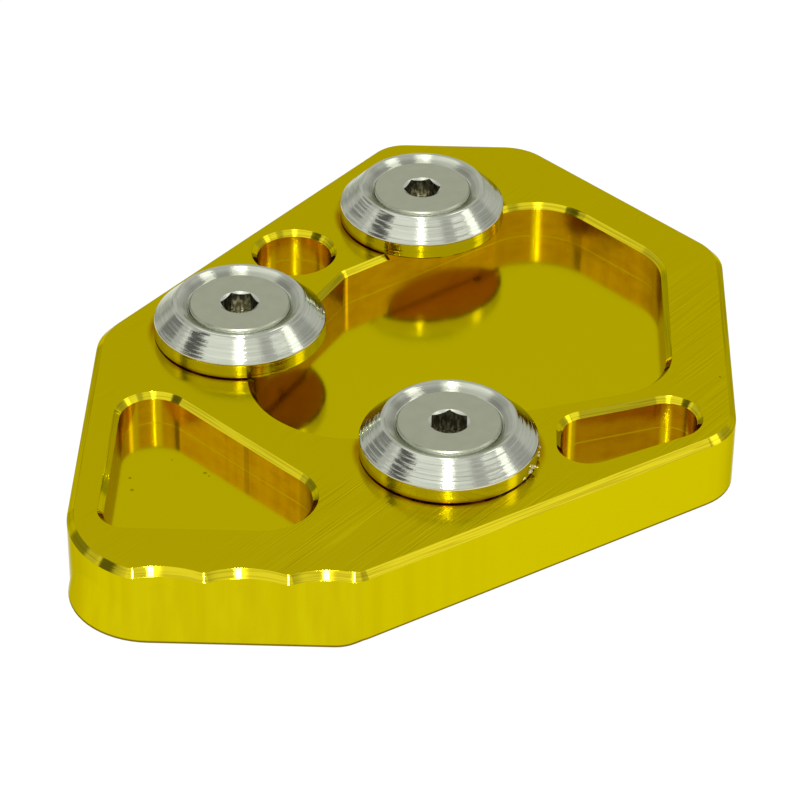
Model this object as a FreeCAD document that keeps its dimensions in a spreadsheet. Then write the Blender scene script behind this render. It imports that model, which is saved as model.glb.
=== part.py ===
import FreeCAD, Part
import math
import os

import Sketcher

# Kickstand foot enlarger: a milled plate that spreads the load of a motorcycle's kickstand.
# The stand's foot sits in the large pocket, and three dished clamp washers, each held down
# by a countersunk screw, hook over its edge.
# Millimetres and degrees. Seen from above, X runs to the right and Y to the back.
# The origin is on the underside, at the middle of the plate.

SIZES = {
    # Plate outline, measured between sharp corners before they are rounded
    "plate_width": 73.6,
    "plate_depth": 90.88,
    "plate_thickness": 8.8,
    "left_side_length": 46.48,
    "front_side_length": 30.84,
    "front_right_rise": 29.18,
    "back_right_drop": 23.9,
    "back_left_inset": 32.1,
    "back_side_length": 18.0,
    "front_left_radius": 12.0,
    "left_radius": 8.0,
    "back_left_radius": 5.3,
    "right_radius": 7.0,
    "edge_chamfer": 0.8,
    "pocket_chamfer": 0.65,
    # Scalloped grip along the front side
    "scallop_radius": 9.4,
    "scallop_depth": 1.3,
    "scallop_spacing": 9.0,
    "scallop_count": 3,
    "first_scallop_inset": 11.1,
    "scallop_peak_radius": 1.6,
    "grip_end_radius": 3.1,
    # Straight toe that fills the scallops towards the underside
    "toe_height": 7.4,
    "toe_top_inset": 1.35,
    "toe_side_inset": 0.05,
    "toe_length": 46.8,
    "toe_left_radius": 9.5,
    "toe_right_radius": 4.0,
    # Screw axes
    "left_screw_from_left": 16.5,
    "left_screw_from_front": 47.08,
    "back_screw_from_left": 37.1,
    "back_screw_from_back": 17.5,
    "front_screw_from_right": 32.4,
    "front_screw_from_front": 24.18,
    # Pockets, milled from above
    "foot_pocket_depth": 4.5,
    "small_pocket_depth": 3.95,
    # Foot pocket: the distance of each wall from the screw or plate side next to it
    "left_screw_to_wall": 4.65,
    "back_screw_to_wall": 4.85,
    "front_screw_to_wall": 5.35,
    "right_land": 7.5,
    "back_right_land": 6.95,
    "left_wall_angle": 63.1,
    "back_wall_angle": 39.2,
    "near_wall_angle": 19.1,
    "toe_radius": 11.5,
    "heel_radius": 7.9,
    "bend_radius": 2.2,
    # Triangular pocket
    "triangle_left_land": 3.95,
    "triangle_front_land": 9.33,
    "triangle_width": 30.9,
    "triangle_length": 29.55,
    "triangle_square_radius": 2.65,
    "triangle_back_radius": 3.85,
    "triangle_right_radius": 5.55,
    # Slot pocket, between the foot pocket and the slanted front side
    "slot_right_land": 4.45,
    "slot_length": 15.3,
    "slot_back_land_left": 3.25,
    "slot_back_land_right": 2.85,
    "slot_front_land_left": 5.25,
    "slot_front_land_right": 3.45,
    "slot_radius": 3.3,
    "slot_front_left_radius": 2.85,
    # Round pocket, set in from the slanted back side
    "round_pocket_diameter": 9.0,
    "round_pocket_along": 27.3,
    "round_pocket_inset": 7.25,
    # Clamp washers
    "washer_diameter": 20.0,
    "washer_height": 4.4,
    "washer_band_height": 1.95,
    "washer_base_chamfer": 0.2,
    "washer_crest_diameter": 14.85,
    "washer_crest_width": 0.25,
    "washer_seat_diameter": 12.1,
    "washer_dish_depth": 0.7,
    "washer_bore_diameter": 6.6,
    # Countersunk screws
    "screw_diameter": 6.0,
    "thread_clearance": 0.1,
    "screw_tip_recess": 0.82,
    "screw_tip_chamfer": 0.6,
    "head_side_clearance": 0.2,
    "head_sink": 0.38,
    "head_edge_chamfer": 0.15,
    "seat_clearance": 0.05,
    "socket_across_flats": 3.95,
    "socket_depth": 2.4,
    "socket_lead_rim": 0.05,
    "socket_lead_width": 0.4,
    "socket_lead_depth": 0.25,
    "left_screw_turn": 0.0,
    "back_screw_turn": 8.0,
    "front_screw_turn": 30.0,
}

# Plate sides and corners, as formulas of the sizes
LEFT = "(-Size.plate_width / 2)"
RIGHT = "(Size.plate_width / 2)"
FRONT = "(-Size.plate_depth / 2)"
BACK = "(Size.plate_depth / 2)"
TOP = "Size.plate_thickness"

FRONT_LEFT = (LEFT, FRONT)
FRONT_RIGHT = (f"({LEFT} + Size.front_side_length)", FRONT)
RIGHT_FRONT = (RIGHT, f"({FRONT} + Size.front_right_rise)")
RIGHT_BACK = (RIGHT, f"({BACK} - Size.back_right_drop)")
BACK_LEFT = (f"({LEFT} + Size.back_left_inset)", BACK)
BACK_RIGHT = (f"({LEFT} + Size.back_left_inset + Size.back_side_length)", BACK)
LEFT_BACK = (LEFT, f"({FRONT} + Size.left_side_length)")

# Screw axes, as formulas of the sizes
SCREWS = {
    "left": (f"({LEFT} + Size.left_screw_from_left)", f"({FRONT} + Size.left_screw_from_front)"),
    "back": (f"({LEFT} + Size.back_screw_from_left)", f"({BACK} - Size.back_screw_from_back)"),
    "front": (f"({RIGHT} - Size.front_screw_from_right)", f"({FRONT} + Size.front_screw_from_front)"),
}

SHARP = None
LONGEST_TANGENT = 0.97
SMOOTH_ANGLE = 3


def fill_sheet(document):
    """Write every size into the spreadsheet, one row each, under its own alias."""
    sheet = document.addObject("Spreadsheet::Sheet", "Size")
    for row, (alias, value) in enumerate(SIZES.items(), start=1):
        sheet.set(f"A{row}", alias)
        sheet.set(f"B{row}", str(value))
        sheet.setAlias(f"B{row}", alias)
    document.recompute()
    return sheet


def number(sheet, formula):
    """Return the plain value of a formula of the sizes."""
    value = sheet.evalExpression(formula)
    return getattr(value, "Value", value)


def heading(start, end):
    """Return the formula of the direction from one point to another."""
    return f"atan2({end[1]} - {start[1]}; {end[0]} - {start[0]})"


def beside(point, direction, along, inset):
    """Return the point that lies along a direction and inset to its left."""
    x, y = point
    return (f"({x} + {along} * cos({direction}) - {inset} * sin({direction}))",
            f"({y} + {along} * sin({direction}) + {inset} * cos({direction}))")


def crossing(first, second):
    """Return the point where two walls cross. A wall is a point on it and its direction."""
    (x, y), direction = first
    (other_x, other_y), other = second
    run = (f"(({other_x} - {x}) * sin({other}) - ({other_y} - {y}) * cos({other}))"
           f" / sin({other} - {direction})")
    return (f"({x} + cos({direction}) * {run})", f"({y} + sin({direction}) * {run})")


def height_at(wall, x):
    """Return the formula of a wall's Y where it passes the given X."""
    (start_x, start_y), direction = wall
    return f"({start_y} + ({x} - {start_x}) * tan({direction}))"


def add_sketch(body, name, plane_role, height="0"):
    """Add an empty sketch to a body, on one of its origin planes or raised above it."""
    sketch = body.newObject("Sketcher::SketchObject", name)
    plane = next(item for item in body.Origin.OriginFeatures if item.Role == plane_role)
    sketch.AttachmentSupport = [(plane, "")]
    sketch.MapMode = "FlatFace"
    sketch.setExpression(".AttachmentOffset.Base.z", height)
    return sketch


def dimension(sketch, sheet, kind, where, formula):
    """Add one driving dimension to a sketch and bind it to its formula."""
    index = sketch.addConstraint(Sketcher.Constraint(kind, *where, number(sheet, formula)))
    sketch.setExpression(f"Constraints[{index}]", formula)


def place_point(sketch, sheet, where, point):
    """Dimension a point of a sketch from the origin."""
    for kind, formula in zip(("DistanceX", "DistanceY"), point):
        dimension(sketch, sheet, kind, (-1, 1, *where), formula)


def half_turn(before, corner, after):
    """Return half of the angle by which an outline turns at a corner."""
    return (corner - before).getAngle(after - corner) / 2


def fitting_radii(points, radii):
    """Return the radii, made smaller where two of them would overrun the side between them."""
    count = len(points)
    tangents = [radius * math.tan(half_turn(points[i - 1], points[i], points[(i + 1) % count]))
                for i, radius in enumerate(radii)]
    fitted = list(radii)
    for i in range(count):
        following = (i + 1) % count
        room = LONGEST_TANGENT * points[i].distanceToPoint(points[following])
        needed = tangents[i] + tangents[following]
        if needed > room:
            for j in (i, following):
                fitted[j] = min(fitted[j], radii[j] * room / needed)
    return fitted


def rounded_outline(sketch, sheet, corners):
    """Draw a closed convex outline, counterclockwise, from corners of (point, radius size)."""
    points = [FreeCAD.Vector(*(number(sheet, formula) for formula in point), 0)
              for point, _ in corners]
    wanted = [number(sheet, radius) if radius else 0 for _, radius in corners]
    radii = fitting_radii(points, wanted)
    count = len(corners)

    starts, ends, arcs = [], [], []
    for i, radius in enumerate(radii):
        before, corner, after = points[i - 1], points[i], points[(i + 1) % count]
        tangent = radius * math.tan(half_turn(before, corner, after))
        came = (corner - before).normalize()
        leaves = (after - corner).normalize()
        ends.append(corner - came * tangent)
        starts.append(corner + leaves * tangent)
        if radius:
            centre = ends[i] + FreeCAD.Vector(-came.y, came.x, 0) * radius
            from_angle = math.atan2(ends[i].y - centre.y, ends[i].x - centre.x)
            turn = came.getAngle(leaves)
            ring = Part.Circle(centre, FreeCAD.Vector(0, 0, 1), radius)
            arc = Part.ArcOfCircle(ring, from_angle, from_angle + turn)
            arcs.append(sketch.addGeometry(arc, False))
        else:
            arcs.append(None)

    sides = [sketch.addGeometry(Part.LineSegment(starts[i], ends[(i + 1) % count]), False)
             for i in range(count)]
    for i, (point, size) in enumerate(corners):
        arriving, leaving, arc = sides[i - 1], sides[i], arcs[i]
        if arc is None:
            sketch.addConstraint(Sketcher.Constraint("Coincident", arriving, 2, leaving, 1))
            place_point(sketch, sheet, (leaving, 1), point)
            continue
        mark = sketch.addGeometry(Part.Point(points[i]), True)
        place_point(sketch, sheet, (mark, 1), point)
        sketch.addConstraint(Sketcher.Constraint("Tangent", arriving, 2, arc, 1))
        sketch.addConstraint(Sketcher.Constraint("Tangent", arc, 2, leaving, 1))
        sketch.addConstraint(Sketcher.Constraint("PointOnObject", mark, 1, arriving))
        sketch.addConstraint(Sketcher.Constraint("PointOnObject", mark, 1, leaving))
        limited = radii[i] < wanted[i]
        dimension(sketch, sheet, "Radius", (arc,), f"{radii[i]:.4f}" if limited else size)


def add_circle(sketch, sheet, centre, radius):
    """Draw a circle about a dimensioned centre."""
    middle = FreeCAD.Vector(*(number(sheet, formula) for formula in centre), 0)
    ring = Part.Circle(middle, FreeCAD.Vector(0, 0, 1), number(sheet, radius))
    index = sketch.addGeometry(ring, False)
    place_point(sketch, sheet, (index, 3), centre)
    dimension(sketch, sheet, "Radius", (index,), radius)


def add_pocket(body, sketch, name, depth=None):
    """Cut a sketch downwards into the body, to a depth or right through."""
    before = body.Shape.Volume
    pocket = body.newObject("PartDesign::Pocket", name)
    pocket.Profile = sketch
    pocket.Reversed = False
    if depth:
        pocket.Type = "Length"
        pocket.setExpression("Length", depth)
    else:
        pocket.Type = "ThroughAll"
    body.Document.recompute()
    if not body.Shape.Volume < before:
        raise ValueError(f"{name} cuts nothing")
    return pocket


def edge_names(shape, wanted):
    """Return the names of the edges that pass a test."""
    return [f"Edge{index}" for index, edge in enumerate(shape.Edges, start=1) if wanted(edge)]


def is_sharp(shape, name):
    """Tell whether the two faces that share an upright edge meet at an angle."""
    edge = shape.getElement(name)
    place = edge.Vertexes[0].Point
    faces = [face for face in shape.Faces if any(edge.isSame(side) for side in face.Edges)]
    normals = [face.normalAt(*face.Surface.parameter(place)) for face in faces]
    return normals[0].getAngle(normals[1]) > math.radians(SMOOTH_ANGLE)


def add_dressing(body, kind, name, edges, size_name, formula):
    """Round or chamfer the named edges of the body's newest feature."""
    base = body.Tip
    dressing = body.newObject(f"PartDesign::{kind}", name)
    dressing.Base = (base, edges)
    dressing.setExpression(size_name, formula)
    body.Document.recompute()
    return dressing


def cut_scallops(body, sheet):
    """Cut the row of shallow scallops across the front side and round the peaks they leave."""
    sketch = add_sketch(body, "scallop_circle", "XY_Plane", TOP)
    centre = (f"{LEFT} + Size.first_scallop_inset",
              f"{FRONT} + Size.scallop_depth - Size.scallop_radius")
    add_circle(sketch, sheet, centre, "Size.scallop_radius")
    first = add_pocket(body, sketch, "first_scallop")

    row = body.newObject("PartDesign::LinearPattern", "scallop_row")
    row.Originals = [first]
    row.Direction = (sketch, ["H_Axis"])
    row.setExpression("Length", "Size.scallop_spacing * (Size.scallop_count - 1)")
    row.setExpression("Occurrences", "Size.scallop_count")
    body.Tip = row
    body.Document.recompute()

    deepest = number(sheet, f"{FRONT} + Size.scallop_depth")
    half_height = number(sheet, TOP) / 2

    def peaks():
        upright = edge_names(body.Shape, lambda edge: edge.BoundBox.ZLength > half_height
                             and edge.BoundBox.YMax < deepest)
        return sorted(upright, key=lambda name: body.Shape.getElement(name).BoundBox.XMax)

    add_dressing(body, "Fillet", "grip_end", peaks()[-1:], "Radius", "Size.grip_end_radius")
    between = [name for name in peaks() if is_sharp(body.Shape, name)]
    add_dressing(body, "Fillet", "scallop_peaks", between, "Radius", "Size.scallop_peak_radius")


def add_toe(body, sheet):
    """Fill the scallops downwards with a leaning face, so that the lower edge runs straight."""
    slant = heading(FRONT_RIGHT, RIGHT_FRONT)
    side = (beside(FRONT_RIGHT, slant, "0", "Size.toe_side_inset"), slant)
    left = f"({LEFT} + Size.toe_side_inset)"
    right = f"({left} + Size.toe_length)"
    back = height_at(side, right)
    sketch = add_sketch(body, "toe_outline", "XY_Plane")
    rounded_outline(sketch, sheet, [
        ((left, FRONT), "Size.toe_left_radius"),
        (crossing((FRONT_LEFT, "0 deg"), side), "Size.toe_right_radius"),
        ((right, back), SHARP),
        ((left, back), SHARP),
    ])
    toe = body.newObject("PartDesign::Pad", "grip_toe")
    toe.Profile = sketch
    toe.setExpression("Length", "Size.toe_height")
    toe.setExpression("TaperAngle", "-atan(Size.toe_top_inset / Size.toe_height)")
    body.Document.recompute()


def top_rims(body, sheet):
    """Return the names of the edges around the top face: the outline's, then the pockets'."""
    middle = number(sheet, TOP)
    top = min(body.Shape.Faces, key=lambda face: abs(face.CenterOfMass.z - middle))
    outside = top.OuterWire.Edges
    inside = [edge for edge in top.Edges if not any(edge.isSame(rim) for rim in outside)]
    return [edge_names(body.Shape, lambda edge: any(edge.isSame(rim) for rim in rims))
            for rims in (outside, inside)]


def foot_pocket_corners():
    """Return the corners of the foot pocket, where its straight walls would meet."""
    slant = heading(RIGHT_BACK, BACK_RIGHT)
    near = near_wall()
    right = (beside(RIGHT_FRONT, "90 deg", "0", "Size.right_land"), "90 deg")
    back_right = (beside(RIGHT_BACK, slant, "0", "Size.back_right_land"), slant)
    back_angle = "(180 deg + Size.back_wall_angle * 1 deg)"
    back = (beside(SCREWS["back"], back_angle, "0", "Size.back_screw_to_wall"), back_angle)
    left_angle = "(180 deg + Size.left_wall_angle * 1 deg)"
    left = (beside(SCREWS["left"], left_angle, "0", "Size.left_screw_to_wall"), left_angle)
    return [
        (crossing(left, near), "Size.toe_radius"),
        (crossing(near, right), "Size.heel_radius"),
        (crossing(right, back_right), "Size.heel_radius"),
        (crossing(back_right, back), "Size.heel_radius"),
        (crossing(back, left), "Size.bend_radius"),
    ]


def near_wall():
    """Return the foot pocket's wall that passes behind the front screw."""
    angle = "(Size.near_wall_angle * 1 deg)"
    return (beside(SCREWS["front"], angle, "0", "Size.front_screw_to_wall"), angle)


def triangle_corners():
    """Return the corners of the triangular pocket."""
    left = f"({LEFT} + Size.triangle_left_land)"
    front = f"({FRONT} + Size.triangle_front_land)"
    return [
        ((left, front), "Size.triangle_square_radius"),
        ((f"{left} + Size.triangle_width", front), "Size.triangle_right_radius"),
        ((left, f"{front} + Size.triangle_length"), "Size.triangle_back_radius"),
    ]


def slot_corners():
    """Return the corners of the slot pocket, held between the two sides that it lies along."""
    right = f"({RIGHT} - Size.slot_right_land)"
    left = f"({right} - Size.slot_length)"
    front_side = (FRONT_RIGHT, heading(FRONT_RIGHT, RIGHT_FRONT))
    near = near_wall()
    return [
        ((left, f"{height_at(front_side, left)} + Size.slot_front_land_left"),
         "Size.slot_front_left_radius"),
        ((right, f"{height_at(front_side, right)} + Size.slot_front_land_right"),
         "Size.slot_radius"),
        ((right, f"{height_at(near, right)} - Size.slot_back_land_right"), "Size.slot_radius"),
        ((left, f"{height_at(near, left)} - Size.slot_back_land_left"), "Size.slot_radius"),
    ]


def make_plate(document, sheet):
    """Mill the plate: outline, scalloped grip, four blind pockets, chamfers and bores."""
    body = document.addObject("PartDesign::Body", "base_plate")
    outline = add_sketch(body, "plate_outline", "XY_Plane")
    rounded_outline(outline, sheet, [
        (FRONT_LEFT, "Size.front_left_radius"),
        (FRONT_RIGHT, SHARP),
        (RIGHT_FRONT, "Size.right_radius"),
        (RIGHT_BACK, "Size.right_radius"),
        (BACK_RIGHT, "Size.right_radius"),
        (BACK_LEFT, "Size.back_left_radius"),
        (LEFT_BACK, "Size.left_radius"),
    ])
    slab = body.newObject("PartDesign::Pad", "plate_slab")
    slab.Profile = outline
    slab.setExpression("Length", TOP)
    document.recompute()

    cut_scallops(body, sheet)
    add_toe(body, sheet)

    pockets = {
        "foot_pocket": foot_pocket_corners(),
        "triangular_pocket": triangle_corners(),
        "slot_pocket": slot_corners(),
    }
    for name, corners in pockets.items():
        sketch = add_sketch(body, f"{name}_outline", "XY_Plane", TOP)
        rounded_outline(sketch, sheet, corners)
        depth = "Size.foot_pocket_depth" if name == "foot_pocket" else "Size.small_pocket_depth"
        add_pocket(body, sketch, name, depth)

    sketch = add_sketch(body, "round_pocket_outline", "XY_Plane", TOP)
    slant = heading(LEFT_BACK, BACK_LEFT)
    centre = beside(LEFT_BACK, slant, "Size.round_pocket_along", "(-Size.round_pocket_inset)")
    add_circle(sketch, sheet, centre, "Size.round_pocket_diameter / 2")
    add_pocket(body, sketch, "round_pocket", "Size.small_pocket_depth")

    outline_rim, _ = top_rims(body, sheet)
    add_dressing(body, "Chamfer", "outline_chamfer", outline_rim, "Size", "Size.edge_chamfer")
    _, pocket_rims = top_rims(body, sheet)
    add_dressing(body, "Chamfer", "pocket_chamfer", pocket_rims, "Size", "Size.pocket_chamfer")

    sketch = add_sketch(body, "screw_bore_circles", "XY_Plane", TOP)
    for axis in SCREWS.values():
        add_circle(sketch, sheet, axis, "Size.screw_diameter / 2")
    add_pocket(body, sketch, "screw_bores")
    return body


def revolve(body, sheet, name, profile):
    """Turn a closed profile of radius and height once around the body's upright axis."""
    sketch = add_sketch(body, f"{name}_profile", "XZ_Plane")
    rounded_outline(sketch, sheet, [(point, SHARP) for point in profile])
    turned = body.newObject("PartDesign::Revolution", name)
    turned.Profile = sketch
    turned.ReferenceAxis = (sketch, ["V_Axis"])
    turned.Angle = 360
    body.Document.recompute()
    return turned


def stand_on_plate(body, place):
    """Put a body on the plate's top face, on the axis of its screw."""
    x, y = SCREWS[place]
    body.setExpression(".Placement.Base.x", x)
    body.setExpression(".Placement.Base.y", y)
    body.setExpression(".Placement.Base.z", TOP)


def make_washer(document, sheet, place):
    """Turn a clamp washer: band, sloped flank, thin crest, shallow dish and countersunk seat."""
    body = document.addObject("PartDesign::Body", f"clamp_washer_{place}")
    outer = "Size.washer_diameter / 2"
    bore = "Size.washer_bore_diameter / 2"
    crest = "Size.washer_crest_diameter / 2"
    seat = "Size.washer_seat_diameter / 2"
    seat_top = "(Size.washer_height - Size.washer_dish_depth)"
    revolve(body, sheet, f"washer_{place}", [
        (bore, "0"),
        (f"{outer} - Size.washer_base_chamfer", "0"),
        (outer, "Size.washer_base_chamfer"),
        (outer, "Size.washer_band_height"),
        (f"{crest} + Size.washer_crest_width / 2", "Size.washer_height"),
        (f"{crest} - Size.washer_crest_width / 2", "Size.washer_height"),
        (seat, seat_top),
        (bore, f"{seat_top} - ({seat} - {bore})"),
    ])
    stand_on_plate(body, place)
    return body


def make_screw(document, sheet, place):
    """Turn a countersunk screw and sink its hexagon socket, which has a tapered lead."""
    body = document.addObject("PartDesign::Body", f"clamp_screw_{place}")
    head = "(Size.washer_seat_diameter / 2 - Size.head_side_clearance)"
    shank = "(Size.screw_diameter / 2 - Size.thread_clearance)"
    head_top = "(Size.washer_height - Size.head_sink)"
    tip = f"(Size.screw_tip_recess - {TOP})"
    cone_top = ("(Size.washer_height - Size.washer_dish_depth + Size.seat_clearance"
                " - Size.head_side_clearance)")
    revolve(body, sheet, f"screw_{place}", [
        ("0", tip),
        (f"{shank} - Size.screw_tip_chamfer", tip),
        (shank, f"{tip} + Size.screw_tip_chamfer"),
        (shank, f"{cone_top} - ({head} - {shank})"),
        (head, cone_top),
        (head, f"{head_top} - Size.head_edge_chamfer"),
        (f"{head} - Size.head_edge_chamfer", head_top),
        ("0", head_top),
    ])
    cut_socket(body, sheet, place, head_top)
    stand_on_plate(body, place)
    body.setExpression(".Placement.Rotation.Angle", f"Size.{place}_screw_turn")
    return body


def cut_socket(body, sheet, place, head_top):
    """Sink the hexagon socket, and the cone that leads into it, from the top of the head."""
    corner = "(Size.socket_across_flats / 2 / cos(30))"
    sketch = add_sketch(body, f"socket_{place}_hexagon", "XY_Plane", head_top)
    rounded_outline(sketch, sheet, [
        ((f"{corner} * cos({angle})", f"{corner} * sin({angle})"), SHARP)
        for angle in range(0, 360, 60)
    ])
    add_pocket(body, sketch, f"socket_{place}", "Size.socket_depth")

    mouth = f"({corner} + Size.socket_lead_rim)"
    narrow = f"({mouth} - Size.socket_lead_width)"
    lead = add_sketch(body, f"socket_{place}_lead_profile", "XZ_Plane")
    rounded_outline(lead, sheet, [
        ((narrow, f"{head_top} - Size.socket_lead_depth"), SHARP),
        ((mouth, head_top), SHARP),
        ((narrow, head_top), SHARP),
    ])
    before = body.Shape.Volume
    groove = body.newObject("PartDesign::Groove", f"socket_{place}_lead")
    groove.Profile = lead
    groove.ReferenceAxis = (lead, ["V_Axis"])
    groove.Angle = 360
    body.Document.recompute()
    if not body.Shape.Volume < before:
        raise ValueError(f"socket_{place}_lead cuts nothing")


def check_model(document, bodies):
    """Stop if any feature failed or any sub-part is not a sound solid."""
    for item in document.Objects:
        if "Invalid" in item.State or "Error" in item.State:
            raise ValueError(f"{item.Label} failed: {item.State}")
    for body in bodies:
        if body.Shape.isNull() or not body.Shape.isValid() or len(body.Shape.Solids) != 1:
            raise ValueError(f"{body.Label} is not one sound solid")


def main():
    """Build every sub-part and write each one to its own file."""
    document = FreeCAD.newDocument("kickstand_foot_enlarger")
    sheet = fill_sheet(document)
    bodies = [make_plate(document, sheet)]
    for place in SCREWS:
        bodies.append(make_washer(document, sheet, place))
        bodies.append(make_screw(document, sheet, place))
    document.recompute()
    check_model(document, bodies)
    os.makedirs("parts", exist_ok=True)
    for body in bodies:
        body.Shape.exportStep(f"parts/{body.Label}.step")


main()
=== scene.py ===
import math
import random

import bmesh
import bpy
from mathutils import Matrix, Vector


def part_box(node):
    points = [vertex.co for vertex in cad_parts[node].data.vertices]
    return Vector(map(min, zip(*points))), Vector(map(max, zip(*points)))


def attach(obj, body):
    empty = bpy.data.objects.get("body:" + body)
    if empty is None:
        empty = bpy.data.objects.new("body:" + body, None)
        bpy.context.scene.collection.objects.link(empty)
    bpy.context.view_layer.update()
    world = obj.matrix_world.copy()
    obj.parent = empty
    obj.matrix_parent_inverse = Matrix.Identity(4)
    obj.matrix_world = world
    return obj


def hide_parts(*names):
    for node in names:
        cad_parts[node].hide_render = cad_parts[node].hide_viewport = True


# Kickstand foot enlarger: a milled, gold-anodised plate with three turned clamp washers,
# each held down by a countersunk screw. The scene is in metres, in the frame of the packed
# model. Sizes and places on the object are written in millimetres.

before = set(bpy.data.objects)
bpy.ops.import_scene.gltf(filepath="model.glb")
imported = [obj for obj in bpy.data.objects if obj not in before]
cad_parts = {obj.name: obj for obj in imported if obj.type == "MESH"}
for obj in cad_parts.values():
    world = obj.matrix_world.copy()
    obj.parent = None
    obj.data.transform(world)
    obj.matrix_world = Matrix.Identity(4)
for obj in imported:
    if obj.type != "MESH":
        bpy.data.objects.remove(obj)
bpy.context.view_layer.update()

MM = 0.001


def middle_of(node):
    """Return the x and y of the middle of a CAD node's box, in millimetres."""
    low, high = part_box(node)
    return ((low.x + high.x) / 2 / MM, (low.y + high.y) / 2 / MM)


PLATE_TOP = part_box("base_plate")[1].z / MM
SCREW_AXES = {place: middle_of(f"clamp_washer_{place}") for place in ("left", "back", "front")}

# Corners of the pockets' straight walls, before rounding, and the height of each floor
FOOT_POCKET = [(-29.848, -27.458), (29.3, -6.976), (29.3, 19.255), (15.07, 33.727), (-8.601, 14.422)]
TRIANGULAR_POCKET = [(-32.85, -36.11), (-1.95, -36.11), (-32.85, -6.56)]
SLOT_POCKET = [(17.05, -24.486), (32.35, -15.846), (32.35, -8.77), (17.05, -14.468)]
ROUND_POCKET_CENTRE = (-14.93, 18.916)
ROUND_POCKET_RADIUS = 4.5
FOOT_FLOOR = 4.3
SMALL_FLOOR = 4.85
POCKET_CHAMFER_FOOT = 8.15
OUTLINE_CHAMFER_FOOT = 8.0

# How far outside a pocket a point still counts as on its wall, how far the foot pocket's walls
# keep from the small pockets, and how far the plate's outer sides keep from every pocket
WALL_REACH = 0.06
POCKETS_APART = 0.5
SIDES_APART = 2.0

# Heights of the painted highlight in the corner over a pocket's floor and of the painted shadow line
# along the lowest edge
CORNER_HEIGHT = 0.08
DARK_LINE_HEIGHT = 0.22

# The brushing on the plate's top, in degrees from its width, and the reach of the painted brown
# reflection of a washer's underside round it
BRUSH_TURN = 52.0
PAINTED_REFLECTION_REACH = 10.6

# Where the cutter started on the triangular pocket's slanted wall, and small pits in the metal:
# each pit is its place and its radius
CUTTER_SEAM = (-18.2, -20.6)
SEAM_REACH = 0.42
PITS = [((-31.11, -22.42, 4.85), 0.17), ((-30.68, -24.65, 4.85), 0.2), ((-22.81, -21.15, 4.85), 0.2),
        ((-22.33, -21.7, 4.85), 0.12), ((-26.7, -18.8, 4.85), 0.1), ((35.27, -5.62, 8.8), 0.14)]

# Places on the pockets' curved walls with a painted highlight, and those with a paler painted reflection
WALL_FLASHES = [(-29.0, -11.72), (29.05, -10.22), (-14.93, 23.42), (14.48, 30.96)]
WALL_BANDS = [(-31.54, -12.68), (18.17, -14.29), (-17.90, 22.29)]

# Heights on a washer and its screw, above the plate, and radii from their axis
WASHER_RADIUS = 10.0
WASHER_BORE = 3.3
SHADED_EDGE_RADIUS = 9.7
BAND_TOP = 2.0
DISH_FOOT = 3.0
DISH_RADIUS = 6.7
SEAT_RADIUS = 6.08
HEAD_RADIUS = 5.8
HEAD_EDGE_TOP = 3.88
SOCKET_RADIUS = 2.35
SOCKET_FLOOR = 1.0
SOCKET_RIM_FOOT = 3.76
SOCKET_RIM_TOP = 4.01

# Chips on the front washer's band: each is its place and its half sizes
BURRS = [((13.35, -25.55, 9.3), (0.45, 0.35, 0.30)), ((13.75, -25.0, 9.5), (0.35, 0.3, 0.35)),
         ((12.7, -26.6, 9.15), (0.35, 0.3, 0.2)), ((14.35, -22.6, 9.5), (0.25, 0.35, 0.5)),
         ((14.4, -21.7, 9.9), (0.2, 0.3, 0.35))]

LATHE_STEPS = 160
LEVEL = 1e-5

# Colours that the metal gives back under white light, and the colours of the light, shade and reflections
# painted on it
GOLD = (0.62, 0.525, 0.006)
TOP_GOLD = (0.58, 0.475, 0.006)
TOP_STREAK = (0.64, 0.54, 0.008)
TOP_SCRATCH = (0.515, 0.405, 0.005)
SIDE_GOLD = (0.61, 0.52, 0.0012)
SIDE_SHADE = (0.565, 0.465, 0.001)
WALL_REFLECTED_AMBER = (0.83, 0.52, 0.003)
WALL_DEEP_REFLECTION = (0.64, 0.32, 0.003)
WALL_PAINTED_BRIGHT_BAND = (0.84, 0.66, 0.01)
WALL_GLINT = (1.0, 0.86, 0.16)
RIM_GOLD = (0.64, 0.54, 0.014)
RIM_SHADE = (0.51, 0.42, 0.010)
CORNER_GLINT = (0.94, 0.76, 0.10)
GOLD_AT_EDGES = (0.65, 0.6, 0.15, 1)
WASHER_PAINTED_REFLECTION = (0.30, 0.11, 0.002)
DIRT_AND_EDGE_SHADE = (0.16, 0.10, 0.005)
ALUMINIUM_DULL = (0.48, 0.50, 0.405)
ALUMINIUM_BRIGHT = (0.57, 0.595, 0.50)
ALUMINIUM_AT_EDGES = (0.8, 0.82, 0.72, 1)
GAP_PAINTED_LIGHT = (0.74, 0.76, 0.68)
DISH_SHADE = (0.27, 0.285, 0.22)
BAND_PAINTED_REFLECTION = (0.80, 0.75, 0.50)
UNDERSIDE_PAINTED_REFLECTION = (0.85, 0.52, 0.12)
CONTACT_SHADE = (0.10, 0.03, 0.01)
STEEL_DULL = (0.40, 0.42, 0.295)
STEEL_BRIGHT = (0.48, 0.50, 0.36)
SOCKET_SHADE = (0.13, 0.125, 0.08)
SOCKET_GLINT = (0.52, 0.50, 0.38)
SOCKET_RIM_HIGHLIGHT = (0.60, 0.62, 0.52)
WHITE = (1.0, 1.0, 1.0)
FLOOR_FAR = (0.60, 0.60, 0.60)

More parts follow.
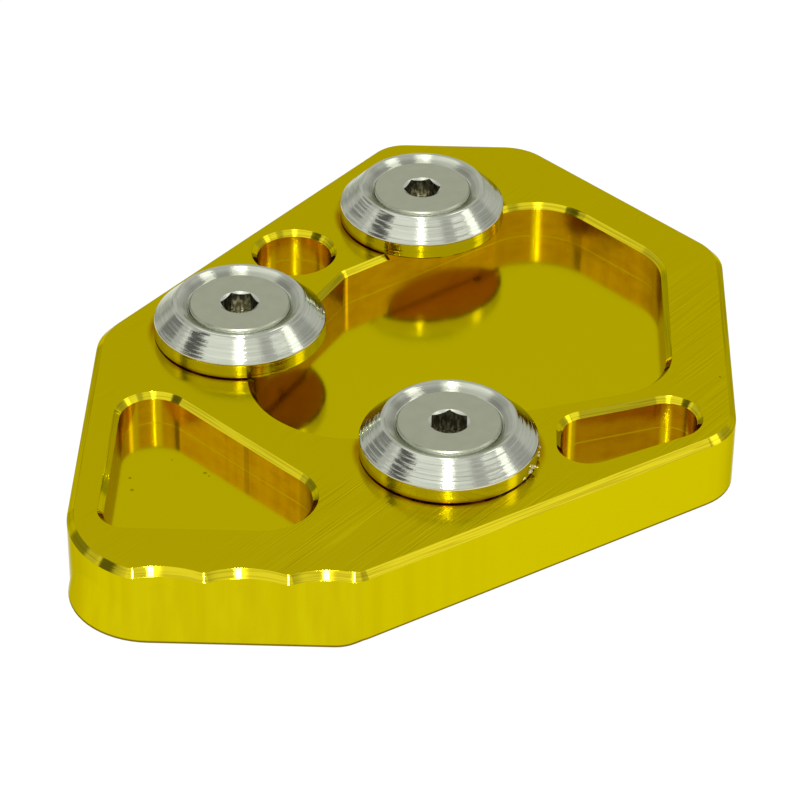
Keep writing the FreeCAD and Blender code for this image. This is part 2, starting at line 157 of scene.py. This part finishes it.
# Panels of the room: azimuth from the back and elevation of the two ends, half width and softness
# in degrees, and the share of the room's light that they give
ROOM_RADIANCE = 0.71
ROOM_PANELS = [
    ((-128, 49), (-172, 55), 10, 3, 1.65),
    ((172, 55), (152, 54), 9, 3, 1.50),
    ((180, 46), (180, 62), 5, 4, 1.30),
    ((138, 51), (130, 50), 4, 3, 0.88),
    ((-74, 62), (-104, 80), 9, 3, 1.70),
    ((0, 86), (180, 86), 6, 3, 2.60),
    ((90, 34), (62, 63), 6, 1.5, 2.70),
    ((113, 46), (102, 42), 4.5, 1.5, 1.75),
    ((-93, 35), (-88, 36), 4, 2, 1.45),
    ((-101, 36), (-113, 50), 5.5, 1.5, 0.22),
    ((-75, 22), (-60, 14), 5, 3, 0.40),
    ((-52, 39), (-58, 46), 6, 5, 0.76),
    ((-39, 2), (-30, 2), 7, 5, 0.70),
    ((72, 26), (62, 20), 6, 5, 0.68),
    ((51, 40), (48, 38), 5, 4, 0.76),
    ((24, 11), (28, 14), 5, 5, 0.75),
]

# Soft boxes: name, the directions of their two ends, distance and width in metres, radiance, colour
LAMPS = [
    ("overhead_strip", (180, 30), (180, 87), 0.9, 0.035, 4.0, (0.94, 0.98, 1.0)),
    ("hot_lamp", (179, 45), (179.2, 53), 0.46, 0.040, 75.0, WHITE),
]

# The floor: its height and radius, the distance past which its mirror image dims, and how
# softly, all in metres, and its own light
FLOOR_HEIGHT = -0.00005
FLOOR_RADIUS = 4.0
FLOOR_NEAR = 0.084
FLOOR_FADE = 0.018
FLOOR_LIGHT = 1.06
FLOOR_SHARE = 0.88

# The camera: its lens in millimetres, its place in metres, and its turns in degrees
CAMERA_LENS = 153.81
CAMERA_PLACE = (0.00565, -0.32900, 0.23145)
CAMERA_HEADING = 1.25
CAMERA_DIP = 35.05
CAMERA_ROLL = 0.60


class Link:
    """A shader value. Sums on it add Math nodes, and node() adds any other kind."""

    def __init__(self, tree, socket=None):
        self.tree = tree
        self.socket = socket

    def node(self, kind, settings=None, inputs=None, output=0):
        """Add a node, set it up, feed it values or links, and return one of its outputs."""
        made = self.tree.nodes.new(kind)
        for name, value in (settings or {}).items():
            setattr(made, name, value)
        for name, value in (inputs or {}).items():
            if isinstance(value, Link):
                self.tree.links.new(value.socket, made.inputs[name])
            else:
                made.inputs[name].default_value = value
        return Link(self.tree, made.outputs[output] if len(made.outputs) else None)

    def math(self, operation, first, second=0.0):
        return self.node("ShaderNodeMath", {"operation": operation}, {0: first, 1: second})

    def __add__(self, other):
        return self.math("ADD", self, other)

    def __sub__(self, other):
        return self.math("SUBTRACT", self, other)

    def __rsub__(self, other):
        return self.math("SUBTRACT", other, self)

    def __mul__(self, other):
        return self.math("MULTIPLY", self, other)

    __radd__ = __add__
    __rmul__ = __mul__

    def over(self, limit, soft):
        """Return 0 below a limit and 1 above it, with a soft step between."""
        return self.node("ShaderNodeMapRange", {"interpolation_type": "SMOOTHSTEP"},
                         {"Value": self, "From Min": limit - soft, "From Max": limit + soft})

    def under(self, limit, soft):
        return 1 - self.over(limit, soft)


def mix_colour(factor, first, second):
    """Blend two colours by a factor."""
    opaque = [(*value, 1) if isinstance(value, tuple) else value for value in (first, second)]
    return factor.node("ShaderNodeMix", {"data_type": "RGBA"},
                       {0: factor, 6: opaque[0], 7: opaque[1]}, 2)


def new_metal(name):
    """Start a metal finish: return its material, its shader and a point on the piece in millimetres."""
    metal = bpy.data.materials.new(name)
    metal.use_nodes = True
    shader = metal.node_tree.nodes["Principled BSDF"]
    shader.inputs["Metallic"].default_value = 1.0
    shop = Link(metal.node_tree)
    place = shop.node("ShaderNodeTexCoord", output="Object")
    point = shop.node("ShaderNodeVectorMath", {"operation": "SCALE"}, {0: place, "Scale": 1 / MM})
    return metal, shader, point


def feed(shader, socket, value):
    """Link a value into a socket of the metal's shader."""
    value.tree.links.new(value.socket, shader.inputs[socket])


def feed_bump(shader, strength, height):
    """Tilt the metal's shading by a height map of about a tenth of a millimetre."""
    bump = height.node("ShaderNodeBump", None,
                       {"Strength": strength, "Distance": 0.1 * MM, "Height": height})
    feed(shader, "Normal", bump)


def parts_of(point):
    """Split a point into its three coordinates."""
    split = point.node("ShaderNodeSeparateXYZ", None, {0: point}).socket.node
    return [Link(point.tree, output) for output in split.outputs]


def grain(point, size, detail=2.0, stretch=(1.0, 1.0, 1.0), turn=0.0):
    """Return noise about 0.5 with features of a size in millimetres, stretched along its axes."""
    mapped = point.node("ShaderNodeMapping", {"vector_type": "TEXTURE"},
                        {0: point, "Rotation": (0.0, 0.0, math.radians(turn)), "Scale": stretch})
    return mapped.node("ShaderNodeTexNoise", None,
                       {"Vector": mapped, "Scale": 1 / size, "Detail": detail})


def outside_of(point, corners):
    """Return how far a point is outside a convex outline, in millimetres: negative is inside."""
    farthest = None
    for (x, y), (next_x, next_y) in zip(corners, corners[1:] + corners[:1]):
        length = math.hypot(next_x - x, next_y - y)
        outward = ((next_y - y) / length, (x - next_x) / length, 0.0)
        along = point.node("ShaderNodeVectorMath", {"operation": "DOT_PRODUCT"},
                           {0: point, 1: outward}, "Value")
        distance = along - (outward[0] * x + outward[1] * y)
        farthest = distance if farthest is None else farthest.math("MAXIMUM", farthest, distance)
    return farthest


def distance_to(point, place):
    """Return how far a point is from a place, or from an upright line where only x and y are given."""
    if len(place) == 2:
        point = point.node("ShaderNodeVectorMath", {"operation": "MULTIPLY"}, {0: point, 1: (1, 1, 0)})
        place = (*place, 0.0)
    return point.node("ShaderNodeVectorMath", {"operation": "DISTANCE"}, {0: point, 1: place}, "Value")


def near_any(point, lines, reach, soft):
    """Return 1 close to any of some upright lines, each given by its x and y."""
    near = None
    for line in lines:
        here = distance_to(point, line).under(reach, soft)
        near = here if near is None else near.math("MAXIMUM", near, here)
    return near


class PlateAreas:
    """The plate's areas: each is 1 where it is and 0 elsewhere, with a thin soft edge."""

    def __init__(self, point):
        z = parts_of(point)[2]
        foot = outside_of(point, FOOT_POCKET)
        triangle = outside_of(point, TRIANGULAR_POCKET)
        slot = outside_of(point, SLOT_POCKET)
        round_pocket = distance_to(point, ROUND_POCKET_CENTRE) - ROUND_POCKET_RADIUS
        small = triangle.math("MINIMUM", triangle.math("MINIMUM", triangle, slot), round_pocket)

        below_rim = z.under(POCKET_CHAMFER_FOOT, 0.02)
        foot_wall = foot.under(WALL_REACH, 0.03) * small.over(POCKETS_APART, 0.1) * below_rim
        foot_wall = foot_wall * z.over(FOOT_FLOOR + 0.03, 0.02)
        small_wall = small.under(WALL_REACH, 0.03) * below_rim * z.over(SMALL_FLOOR + 0.03, 0.02)
        self.wall = foot_wall + small_wall
        self.slot_wall = slot.under(WALL_REACH, 0.03)
        self.corner = (foot_wall * z.under(FOOT_FLOOR + CORNER_HEIGHT, 0.03)
                       + small_wall * z.under(SMALL_FLOOR + CORNER_HEIGHT, 0.03))
        outside = foot.over(SIDES_APART, 0.1) * small.over(SIDES_APART, 0.1)
        self.side = z.under(OUTLINE_CHAMFER_FOOT, 0.01) * outside
        # Painted shadow line along the lowest edge of the sides
        self.lowest_edge = self.side * z.under(DARK_LINE_HEIGHT, 0.06)
        self.top = z.over(PLATE_TOP - 0.02, 0.01)
        self.rim = z.over(OUTLINE_CHAMFER_FOOT + 0.02, 0.01) * (1 - self.top) * (1 - self.wall)


def wall_colour(point, areas, wall_bands):
    """Return the pocket walls' painted reflection: amber for the gold mirrored between walls and floors,
    deeper amber in patches and bands, paler painted bands and painted highlights where they flash.
    """
    reflection_patches = grain(point, 3.0, 3.0, (1.0, 1.0, 0.5))
    # Painted reflection: deeper amber in patches, in upright bands and on the slot's walls
    deep_reflection_share = wall_bands.over(0.52, 0.22) * 0.2 + reflection_patches.over(0.53, 0.15) * 0.4 + areas.slot_wall * 0.5
    amber = mix_colour(deep_reflection_share, WALL_REFLECTED_AMBER, WALL_DEEP_REFLECTION)
    # Painted paler bands and painted highlights on the curved walls
    amber = mix_colour(near_any(point, WALL_BANDS, 0.6, 0.25), amber, WALL_PAINTED_BRIGHT_BAND)
    return mix_colour(near_any(point, WALL_FLASHES, 0.55, 0.3) * 0.8, amber, WALL_GLINT)


def dirt_and_edge_shade(point, areas):
    """Return where the plate is darkened: the cutter's seam and the pits, and a painted shadow line along
    the lowest edge.
    """
    seam = distance_to(point, CUTTER_SEAM).under(SEAM_REACH, 0.08) * areas.wall
    dirt_and_shade = seam * 0.3 + areas.lowest_edge * 0.9
    for place, radius in PITS:
        dirt_and_shade = dirt_and_shade + distance_to(point, place).under(radius, radius * 0.6) * 0.6
    return dirt_and_shade


def gold_anodised():
    """Gloss gold anodising over milled aluminium: cutter lines and bright rims, with painted reflections
    (amber pocket walls, highlights at their feet, brown round the washers) and painted shade in bands on
    the sides and along the lowest edge.
    """
    metal, shader, point = new_metal("gold_anodised_milled")
    x, y, _ = parts_of(point)
    areas = PlateAreas(point)
    top, rim, wall = areas.top, areas.rim, areas.wall

    streaks = grain(point, 0.18, 2.0, (70.0, 1.0, 1.0), BRUSH_TURN)
    bundles = grain(point, 0.9, 1.0, (30.0, 1.0, 1.0), BRUSH_TURN)
    patches = grain(point, 9.0, 2.0)
    painted_side_bands = grain(point, 2.2, 2.0, (1.0, 1.0, 60.0))
    wall_bands = grain(point, 0.9, 2.0, (1.0, 1.0, 40.0))
    cutter_lines = grain(point, 0.15, 1.0, (70.0, 70.0, 1.0))

    brushed = patches.over(0.54, 0.1) * 0.3 + y.under(-27, 3) * x.over(-14, 4)
    brushed = brushed + x.over(27, 3) * y.under(15, 8) * 0.6
    brushed = brushed * top * bundles.over(0.47, 0.08)
    lines = mix_colour(streaks.over(0.56, 0.06) * brushed, TOP_GOLD, TOP_STREAK)
    lines = mix_colour(streaks.under(0.43, 0.05) * brushed, lines, TOP_SCRATCH)
    # Painted shade in soft upright bands on the sides, standing in for the room's reflections in them
    banded_side = mix_colour(painted_side_bands.over(0.5, 0.2) * x.under(5, 15), SIDE_GOLD, SIDE_SHADE)
    colour = mix_colour(top, mix_colour(areas.side, GOLD, banded_side), lines)
    # Painted brown reflection of each washer's underside on the plate's top, in patches
    glow = near_any(point, SCREW_AXES.values(), PAINTED_REFLECTION_REACH, 0.4)
    colour = mix_colour(glow * top * (patches.over(0.47, 0.1) * 0.6 + 0.25), colour, WASHER_PAINTED_REFLECTION)
    colour = mix_colour(wall, colour, wall_colour(point, areas, wall_bands))
    colour = mix_colour(rim, colour, mix_colour(cutter_lines.over(0.56, 0.05), RIM_GOLD, RIM_SHADE))
    # Painted highlight along the corner at the foot of each pocket wall
    colour = mix_colour(areas.corner, colour, CORNER_GLINT)
    feed(shader, "Base Color", mix_colour(dirt_and_edge_shade(point, areas), colour, DIRT_AND_EDGE_SHADE))
    shader.inputs["Specular Tint"].default_value = GOLD_AT_EDGES

    worn = patches * 0.04 + streaks * top * 0.05 + wall * wall_bands * 0.08
    feed(shader, "Roughness", 0.11 + worn - rim * 0.09)
    height = streaks * (top * 0.5 + brushed * 1.5) + grain(point, 0.12, 2.0) * (0.3 - rim * 0.27)
    feed_bump(shader, 0.07, height + cutter_lines * rim * 0.5 + wall_bands * wall * 0.5)
    return metal


def centre_on(point, place):
    """Move a point so that it counts from a screw's axis and from the plate's top."""
    x, y = SCREW_AXES[place]
    return point.node("ShaderNodeMapping", None, {0: point, "Location": (-x, -y, -PLATE_TOP)})


def turned_aluminium(place):
    """Bright aluminium from the lathe, with fine rings about the screw's axis, and painted reflections,
    light and shade on its band, dish, seat and underside.
    """
    metal, shader, point = new_metal(f"turned_aluminium_{place}")
    centred = centre_on(point, place)
    radius = distance_to(centred, (0, 0))
    east, north, height = parts_of(centred)
    around = centred.node("ShaderNodeCombineXYZ", None,
                          {0: radius * 4, 1: height * 4, 2: north.math("ARCTAN2", north, east) * 1.6})
    rings = around.node("ShaderNodeTexNoise", None, {"Vector": around, "Scale": 1.0, "Detail": 3.0})
    speckle = grain(centred, 0.2, 1.0)
    colour = mix_colour(rings.over(0.5, 0.2), ALUMINIUM_DULL, ALUMINIUM_BRIGHT)
    # Painted reflection of the gold plate on the washer's band
    colour = mix_colour(height.under(BAND_TOP, 0.05), colour, BAND_PAINTED_REFLECTION)
    # Painted shade at the dish's foot round the head, and painted light on the seat in the gap
    dish_foot = radius.under(DISH_RADIUS, 0.35) * height.over(DISH_FOOT, 0.1)
    colour = mix_colour(dish_foot * 0.65, colour, DISH_SHADE)
    colour = mix_colour(dish_foot * radius.under(SEAT_RADIUS, 0.04), colour, GAP_PAINTED_LIGHT)
    # Painted contact shadow under the band's lower edge, in patches
    under_edge = height.under(0.2, 0.05) * radius.over(SHADED_EDGE_RADIUS, 0.05)
    colour = mix_colour(under_edge * grain(centred, 2.5).over(0.4, 0.12), colour, CONTACT_SHADE)
    # Painted reflection of the gold plate on the washer's underside
    underside = height.under(0.02, 0.01) * radius.under(SHADED_EDGE_RADIUS, 0.05)
    feed(shader, "Base Color", mix_colour(underside, colour, UNDERSIDE_PAINTED_REFLECTION))
    shader.inputs["Specular Tint"].default_value = ALUMINIUM_AT_EDGES
    feed(shader, "Roughness", 0.03 + rings * 0.05 + speckle * 0.04)
    feed_bump(shader, 0.16, rings + speckle * 0.3)
    return metal


def screw_steel(place):
    """Satin stainless steel with a tumbled grain, with painted shade and painted glints inside its
    hexagon socket, a painted highlight on the socket's rim and painted light on the head's side.
    """
    metal, shader, point = new_metal(f"satin_steel_{place}")
    centred = centre_on(point, place)
    radius = distance_to(centred, (0, 0))
    height = parts_of(centred)[2]
    speckle = grain(point, 0.11, 2.0)
    glint_streaks = grain(point, 0.35, 2.0, (1.0, 1.0, 2.5))
    clouds = grain(point, 1.6, 2.0)
    # Painted light on the head's side, in the gap by the washer
    head_side = (radius.over(HEAD_RADIUS, 0.02) * height.under(HEAD_EDGE_TOP, 0.02)
                 * height.over(DISH_FOOT, 0.1))
    # Painted shade and painted glints inside the socket, and a painted highlight on its rim
    inside = radius.under(SOCKET_RADIUS, 0.04) * height.over(SOCKET_FLOOR, 0.05)
    socket = mix_colour(glint_streaks.over(0.55, 0.12), SOCKET_SHADE, SOCKET_GLINT)
    colour = mix_colour(clouds, STEEL_DULL, STEEL_BRIGHT)
    colour = mix_colour(head_side, colour, GAP_PAINTED_LIGHT)
    colour = mix_colour(inside * height.under(SOCKET_RIM_TOP, 0.004), colour, SOCKET_RIM_HIGHLIGHT)
    colour = mix_colour(inside * height.under(SOCKET_RIM_FOOT, 0.02), colour, socket)
    feed(shader, "Base Color", colour)
    feed(shader, "Roughness", 0.24 + clouds * 0.08 + speckle * 0.06 + head_side * 0.15)
    feed_bump(shader, 0.10, speckle)
    return metal


def grooved(start, end, rings, depth, chance):
    """Return the points of a run of cutter rings, each with a slightly different slope."""
    start, end = Vector(start), Vector(end)
    run = end - start
    inward = Vector((-run.y, run.x)).normalized()
    points = [start]
    for i in range(1, rings):
        along = (i + chance.uniform(-0.3, 0.3)) / rings
        points.append(start + run * along + inward * chance.uniform(0.0, depth))
    return [tuple(point) for point in points]


def turn_on_lathe(name, profile, place):
    """Spin a closed profile of (radius, height) about a screw's axis, on top of the plate."""
    lathe = bmesh.new()
    ring = [lathe.verts.new((radius, 0.0, height)) for radius, height in profile]
    loop = [lathe.edges.new(pair) for pair in zip(ring, ring[1:] + ring[:1])]
    bmesh.ops.spin(lathe, geom=ring + loop, cent=(0, 0, 0), axis=(0, 0, 1), dvec=(0, 0, 0),
                   angle=2 * math.pi, steps=LATHE_STEPS, use_merge=True)
    bmesh.ops.recalc_face_normals(lathe, faces=lathe.faces)
    for edge in lathe.edges:
        # An edge that runs round the axis stays sharp, so that each cutter ring is flat
        first, second = [vert.co for vert in edge.verts]
        edge.smooth = abs(first.z - second.z) + abs(first.xy.length - second.xy.length) > LEVEL
    x, y = SCREW_AXES[place]
    stand = Matrix.Scale(MM, 4) @ Matrix.Translation((x, y, PLATE_TOP))
    bmesh.ops.transform(lathe, matrix=stand, verts=lathe.verts)
    for face in lathe.faces:
        face.smooth = True
    mesh = bpy.data.meshes.new(name)
    lathe.to_mesh(mesh)
    lathe.free()
    piece = bpy.data.objects.new(name, mesh)
    bpy.context.collection.objects.link(piece)
    return piece


def raise_burrs(mesh, chance):
    """Raise the torn chips of metal that stand out of the front washer's band."""
    chips = bmesh.new()
    chips.from_mesh(mesh)
    for place, size in BURRS:
        chip = bmesh.ops.create_icosphere(chips, subdivisions=2, radius=1.0)["verts"]
        for vert in chip:
            vert.co = vert.co * chance.uniform(0.6, 1.15)
        stand = Matrix.Scale(MM, 4) @ Matrix.Translation(place) @ Matrix.Diagonal((*size, 1.0))
        bmesh.ops.transform(chips, matrix=stand, verts=chip)
    chips.to_mesh(mesh)
    chips.free()


def turn_washer(place):
    """Turn a clamp washer: band, grooved flank, thin crest, dish and countersunk seat."""
    chance = random.Random(f"washer {place}")
    foot = [(WASHER_BORE, 0.0), (9.8, 0.0), (9.93, 0.05), (WASHER_RADIUS, 0.18)]
    band = grooved((WASHER_RADIUS, 0.35), (WASHER_RADIUS, 1.84), 4, 0.008, chance)
    shoulder = [(WASHER_RADIUS, 1.84), (9.985, 1.91), (9.93, 2.02)]
    flank = grooved((9.86, 2.09), (7.62, 4.33), 15, 0.018, chance)
    crest = [(7.62, 4.33), (7.52, 4.39), (7.42, 4.4), (7.32, 4.39)]
    dish = grooved((7.22, 4.35), (6.12, 3.74), 6, 0.008, chance)
    dish_foot = [(6.12, 3.74), (6.02, 3.67), (5.97, 3.61)]
    seat = grooved((5.93, 3.56), (3.4, 1.05), 6, 0.006, chance)
    profile = foot + band + shoulder + flank + crest + dish + dish_foot + seat + [(WASHER_BORE, 0.95)]
    washer = turn_on_lathe(f"turned_washer_{place}", profile, place)
    if place == "front":
        raise_burrs(washer.data, chance)
    washer.data.materials.append(turned_aluminium(place))
    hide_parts(f"clamp_washer_{place}")
    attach(washer, "root")


def dress(node, metal):
    """Give a CAD node its finish."""
    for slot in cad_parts[node].material_slots:
        slot.material = metal


def toward(azimuth, elevation):
    """Return the direction at an azimuth, clockwise from the back, and an elevation in degrees."""
    azimuth, elevation = math.radians(azimuth), math.radians(elevation)
    level = math.cos(elevation)
    return Vector((math.sin(azimuth) * level, math.cos(azimuth) * level, math.sin(elevation)))


def angle_from(direction, start, end):
    """Return how far a direction is from the line between two others, in degrees."""
    run = end - start
    along = direction.node("ShaderNodeVectorMath", {"operation": "DOT_PRODUCT"},
                           {0: direction, 1: run / run.length_squared}, "Value")
    share = along.node("ShaderNodeClamp", None, {0: along - start.dot(run) / run.length_squared})
    step = share.node("ShaderNodeVectorMath", {"operation": "MULTIPLY_ADD"}, {0: share, 1: run, 2: start})
    nearest = step.node("ShaderNodeVectorMath", {"operation": "NORMALIZE"}, {0: step})
    apart = nearest.node("ShaderNodeVectorMath", {"operation": "DISTANCE"},
                         {0: direction, 1: nearest}, "Value")
    return apart * math.degrees(1.0)


def light_room():
    """Surround the object with a pale room that has a few darker and brighter panels."""
    room = bpy.data.worlds.new("white_room")
    room.use_nodes = True
    tree = room.node_tree
    tree.nodes.clear()
    shop = Link(tree)
    direction = shop.node("ShaderNodeTexCoord", output="Generated")
    shade = ROOM_RADIANCE
    for start, end, reach, soft, share in ROOM_PANELS:
        near = angle_from(direction, toward(*start), toward(*end)).under(reach, soft)
        shade = shade * (1 + near * (share - 1))
    camera = shop.node("ShaderNodeLightPath", output="Is Camera Ray")
    seen = camera.math("MAXIMUM", camera, shade)
    light = shop.node("ShaderNodeBackground", None, {"Color": (*WHITE, 1), "Strength": seen})
    shop.node("ShaderNodeOutputWorld", None, {"Surface": light})
    bpy.context.scene.world = room


def hang_lamp(name, start, end, distance, width, radiance, colour):
    """Hang a long soft box between two directions from the object, facing it."""
    start, end = toward(*start) * distance, toward(*end) * distance
    away = (start + end).normalized()
    across = (end - start).cross(away).normalized()
    lamp = bpy.data.lights.new(name, "AREA")
    lamp.shape = "RECTANGLE"
    lamp.size, lamp.size_y = width, (end - start).length
    lamp.energy = radiance * math.pi * lamp.size * lamp.size_y
    lamp.color = colour
    holder = bpy.data.objects.new(name, lamp)
    bpy.context.collection.objects.link(holder)
    facing = Matrix((across, away.cross(across), away)).transposed()
    holder.matrix_world = Matrix.Translation((start + end) / 2) @ facing.to_4x4()


def white_paper():
    """Matt paper that camera and mirror rays see as white, with a faint shadow on it."""
    paper = bpy.data.materials.new("white_paper")
    paper.use_nodes = True
    tree = paper.node_tree
    tree.nodes.clear()
    shop = Link(tree)
    matt = shop.node("ShaderNodeBsdfDiffuse", None, {"Color": (0.8, 0.8, 0.8, 1)})
    seen = shop.node("ShaderNodeLightPath", output="Is Camera Ray")
    mirrored = shop.node("ShaderNodeLightPath", output="Is Glossy Ray")
    place = shop.node("ShaderNodeTexCoord", output="Object")
    away = distance_to(place, (0, 0, 0)).over(FLOOR_NEAR, FLOOR_FADE)
    pale = mix_colour(mirrored * away, WHITE, FLOOR_FAR)
    glow = shop.node("ShaderNodeEmission", None, {"Color": pale, "Strength": FLOOR_LIGHT})
    share = seen.math("MAXIMUM", seen, mirrored) * FLOOR_SHARE
    both = shop.node("ShaderNodeMixShader", None, {0: share, 1: matt, 2: glow})
    shop.node("ShaderNodeOutputMaterial", None, {"Surface": both})
    return paper


def lay_floor():
    """Lay a wide pale floor under the plate."""
    disc = bmesh.new()
    bmesh.ops.create_circle(disc, cap_ends=True, radius=FLOOR_RADIUS, segments=64)
    mesh = bpy.data.meshes.new("pale_floor")
    disc.to_mesh(mesh)
    disc.free()
    mesh.materials.append(white_paper())
    floor = bpy.data.objects.new("pale_floor", mesh)
    floor.location.z = FLOOR_HEIGHT
    bpy.context.collection.objects.link(floor)


def set_camera():
    """Look down on the plate from the front through a long lens."""
    lens = bpy.data.cameras.new("camera")
    lens.lens = CAMERA_LENS
    camera = bpy.data.objects.new("camera", lens)
    bpy.context.collection.objects.link(camera)
    turn = (Matrix.Rotation(math.radians(CAMERA_HEADING), 4, "Z")
            @ Matrix.Rotation(math.radians(90 - CAMERA_DIP), 4, "X")
            @ Matrix.Rotation(math.radians(CAMERA_ROLL), 4, "Z"))
    camera.matrix_world = Matrix.Translation(CAMERA_PLACE) @ turn
    bpy.context.scene.camera = camera


set_camera()
light_room()
for lamp in LAMPS:
    hang_lamp(*lamp)
lay_floor()
dress("base_plate", gold_anodised())
for place in SCREW_AXES:
    turn_washer(place)
    dress(f"clamp_screw_{place}", screw_steel(place))

bpy.context.scene.view_settings.view_transform = "Standard"
